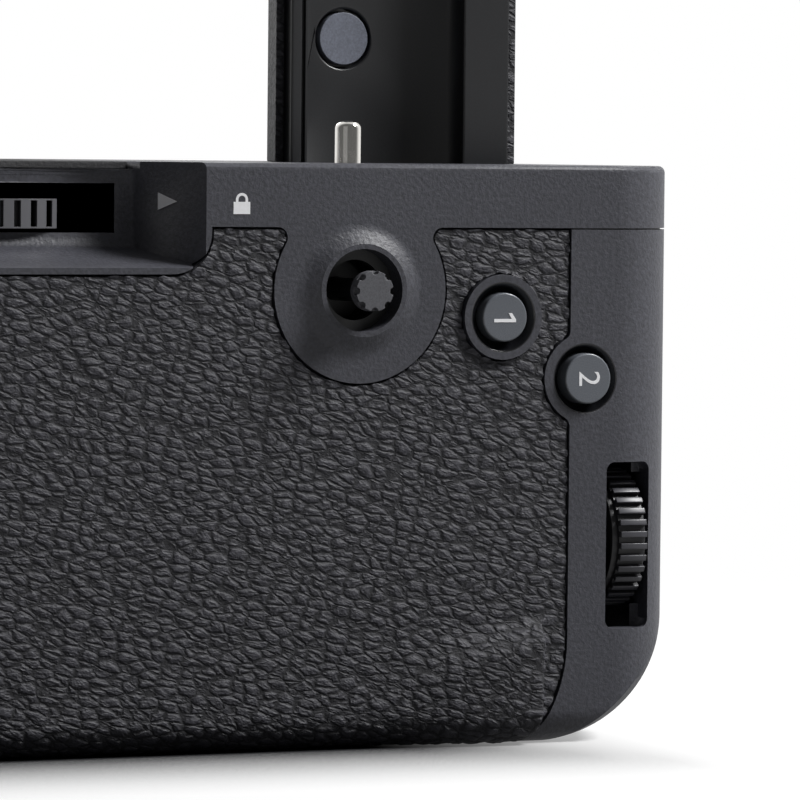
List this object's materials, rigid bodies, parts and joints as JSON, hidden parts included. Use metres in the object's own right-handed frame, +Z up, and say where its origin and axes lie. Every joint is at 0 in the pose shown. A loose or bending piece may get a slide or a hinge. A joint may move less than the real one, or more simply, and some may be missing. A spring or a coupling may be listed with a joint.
{
  "type": "camera battery grip",
  "caption": "Vertical battery grip that screws under a mirrorless camera, with a contact stalk, a battery tray, a joystick, buttons, dials and a lock wheel.",
  "frame": {"origin": "centre of the tripod socket's mouth on the bottom face, on the axis of the camera screw", "axes": "+Z up to the camera, +X to the right seen from the rear, +Y towards the lens"},
  "size_m": [0.1383, 0.074, 0.1124],
  "materials": {
    "shell_plastic": "finely textured black moulded plastic",
    "grained_skin": "leather-grained black synthetic skin",
    "smooth_plastic": "smooth black plastic",
    "grey_plastic": "plain grey plastic",
    "dial_plastic": "ribbed black plastic",
    "pad_rubber": "grainy black rubber",
    "dark_rubber": "soft black rubber",
    "wheel_metal": "dark anodised, ribbed",
    "bright_metal": "turned steel",
    "chrome_pin": "polished chrome",
    "dark_metal": "black coated steel",
    "cast_frame": "cast light alloy",
    "contact_brass": "gold-plated brass",
    "board_green": "green circuit board",
    "ribbon_amber": "amber polyimide film",
    "battery_case": "dark grey moulded plastic"
  },
  "bodies": {
    "root": {"top_cover": "shell_plastic", "top_pad": "pad_rubber", "rear_case": "shell_plastic", "rear_leather": "grained_skin", "front_case": "shell_plastic", "front_leather": "grained_skin", "right_shell": "shell_plastic", "left_frame": "shell_plastic", "bottom_cover": "shell_plastic", "tripod_plate": "dark_metal", "tripod_socket": "bright_metal", "chassis_frame": "cast_frame", "handle_bracket": "cast_frame", "stalk_core": "smooth_plastic", "stalk_sleeve": "grained_skin", "stalk_cap": "grey_plastic", "stalk_terminals": "smooth_plastic", "stalk_cable": "contact_brass", "guide_pins": "chrome_pin", "upper_button_bezel": "smooth_plastic", "stick_boot": "dark_rubber", "stick_module": "cast_frame", "side_switches": "smooth_plastic", "control_board": "board_green", "switch_domes": "bright_metal", "main_board": "board_green", "board_parts": "smooth_plastic", "flex_cable": "ribbon_amber", "rear_dial_bracket": "cast_frame", "front_dial_bracket": "cast_frame", "contact_block": "smooth_plastic", "battery_contacts": "contact_brass", "screw_bearing": "contact_brass", "case_screws": "dark_metal"},
    "lock": {"lock_wheel": "wheel_metal", "camera_screw": "bright_metal", "spring_washer": "bright_metal"},
    "stick_ring": {"stick_gimbal": "bright_metal"},
    "stick_tilt": {"stick_cradle": "smooth_plastic"},
    "stick": {"stick_shaft": "bright_metal", "stick_cap": "grey_plastic"},
    "upper_key": {"upper_button": "smooth_plastic"},
    "corner_key": {"corner_button": "smooth_plastic"},
    "function_key": {"function_button": "smooth_plastic"},
    "shutter_key": {"shutter_button": "bright_metal"},
    "shutter_lock": {"shutter_lever": "smooth_plastic"},
    "rear_wheel": {"rear_dial": "dial_plastic", "rear_dial_axle": "bright_metal"},
    "front_wheel": {"front_dial": "dial_plastic", "front_dial_axle": "bright_metal"},
    "tray": {"battery_tray": "smooth_plastic", "batteries": "battery_case", "tray_door": "shell_plastic", "door_seal": "dark_rubber"},
    "knob": {"latch_knob": "smooth_plastic", "latch_cam": "bright_metal"}
  },
  "joints": [
    {"name": "lock_turn", "type": "hinge", "parent": "root", "child": "lock", "pos_m": [0, 0, 0.051], "axis": [0, 0, 1], "continuous": true},
    {"name": "stick_up_down", "type": "hinge", "parent": "root", "child": "stick_ring", "pos_m": [0.0327, -0.015, 0.04395], "axis": [1, 0, 0], "range_deg": [-8, 8], "stiffness_Nm_per_rad": 0.01},
    {"name": "stick_left_right", "type": "hinge", "parent": "stick_ring", "child": "stick_tilt", "pos_m": [0.0327, -0.015, 0.04395], "axis": [0, 0, 1], "range_deg": [-8, 8], "stiffness_Nm_per_rad": 0.01},
    {"name": "stick_press", "type": "slide", "parent": "stick_tilt", "child": "stick", "axis": [0, 1, 0], "range_m": [0, 0.0004], "stiffness_N_per_m": 200, "springref_m": -0.0002},
    {"name": "upper_press", "type": "slide", "parent": "root", "child": "upper_key", "axis": [0, 1, 0], "range_m": [0, 0.0005], "stiffness_N_per_m": 200, "springref_m": -0.0002},
    {"name": "corner_press", "type": "slide", "parent": "root", "child": "corner_key", "axis": [0, 1, 0], "range_m": [0, 0.0005], "stiffness_N_per_m": 200, "springref_m": -0.0002},
    {"name": "function_press", "type": "slide", "parent": "root", "child": "function_key", "axis": [-1, 0, 0], "range_m": [0, 0.0005], "stiffness_N_per_m": 200, "springref_m": -0.0002},
    {"name": "shutter_press", "type": "slide", "parent": "root", "child": "shutter_key", "axis": [-1, 0, 0], "range_m": [0, 0.001], "stiffness_N_per_m": 200, "springref_m": -0.0002},
    {"name": "shutter_lock_turn", "type": "hinge", "parent": "root", "child": "shutter_lock", "pos_m": [0.068, 0.024, 0.022], "axis": [1, 0, 0], "range_deg": [0, 30]},
    {"name": "rear_dial_turn", "type": "hinge", "parent": "root", "child": "rear_wheel", "pos_m": [0.062, -0.0157, 0.0196], "axis": [1, 0, 0], "continuous": true},
    {"name": "front_dial_turn", "type": "hinge", "parent": "root", "child": "front_wheel", "pos_m": [0.0564, 0.0417, 0.022], "axis": [1, 0, 0], "continuous": true},
    {"name": "tray_slide", "type": "slide", "parent": "root", "child": "tray", "axis": [-1, 0, 0], "range_m": [0, 0.109]},
    {"name": "latch_turn", "type": "hinge", "parent": "tray", "child": "knob", "pos_m": [-0.068, 0.00075, 0.0374], "axis": [1, 0, 0], "range_deg": [0, 90]}
  ]
}
